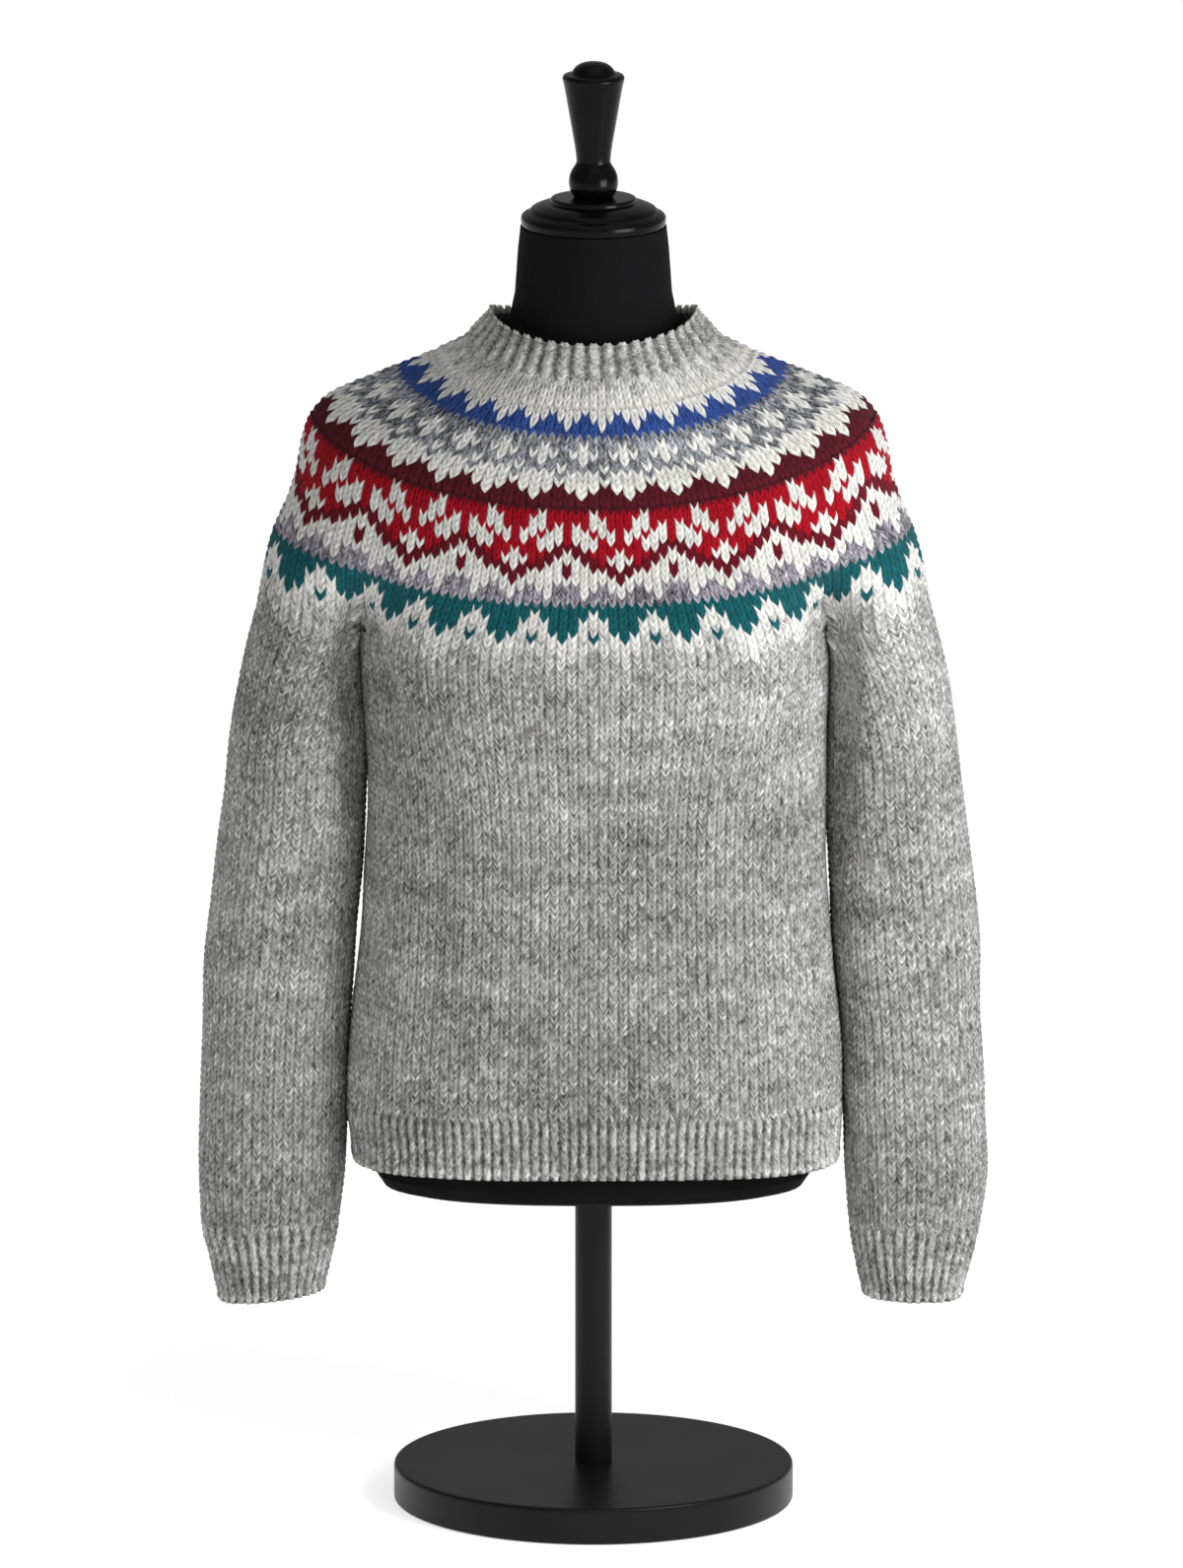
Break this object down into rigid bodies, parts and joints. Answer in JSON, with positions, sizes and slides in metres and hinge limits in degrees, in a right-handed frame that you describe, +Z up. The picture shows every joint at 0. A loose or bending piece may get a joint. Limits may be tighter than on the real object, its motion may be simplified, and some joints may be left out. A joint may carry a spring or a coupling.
{
  "type": "nordic yoke sweater on a dress form stand",
  "caption": "Chunky wool sweater with a round patterned yoke and ribbed edges, worn by a black limbless dress form on a pole and round base.",
  "frame": {"origin": "centre of the round base's underside, on the floor", "axes": "+Z up along the stand's pole; the sweater's front faces -Y; +X is towards a viewer's right when the front is seen"},
  "size_m": [0.641, 0.326, 1.192],
  "materials": {
    "yoke_wool": "hairy wool knitted in stranded colours",
    "grey_wool": "hairy grey heather wool, plain knitting",
    "ribbed_wool": "hairy grey heather wool, ribbed",
    "form_jersey": "matte black jersey stretched over the form",
    "black_wood": "turned wood in satin black paint",
    "black_metal": "satin black powder coat"
  },
  "bodies": {
    "root": {"yoke": "yoke_wool", "body": "grey_wool", "sleeve_left": "grey_wool", "sleeve_right": "grey_wool", "hem_rib": "ribbed_wool", "neck_rib": "ribbed_wool", "cuff_left": "ribbed_wool", "cuff_right": "ribbed_wool", "form_torso": "form_jersey", "neck_cap": "black_wood", "finial": "black_wood", "pole": "black_metal", "base": "black_metal"}
  },
  "joints": []
}
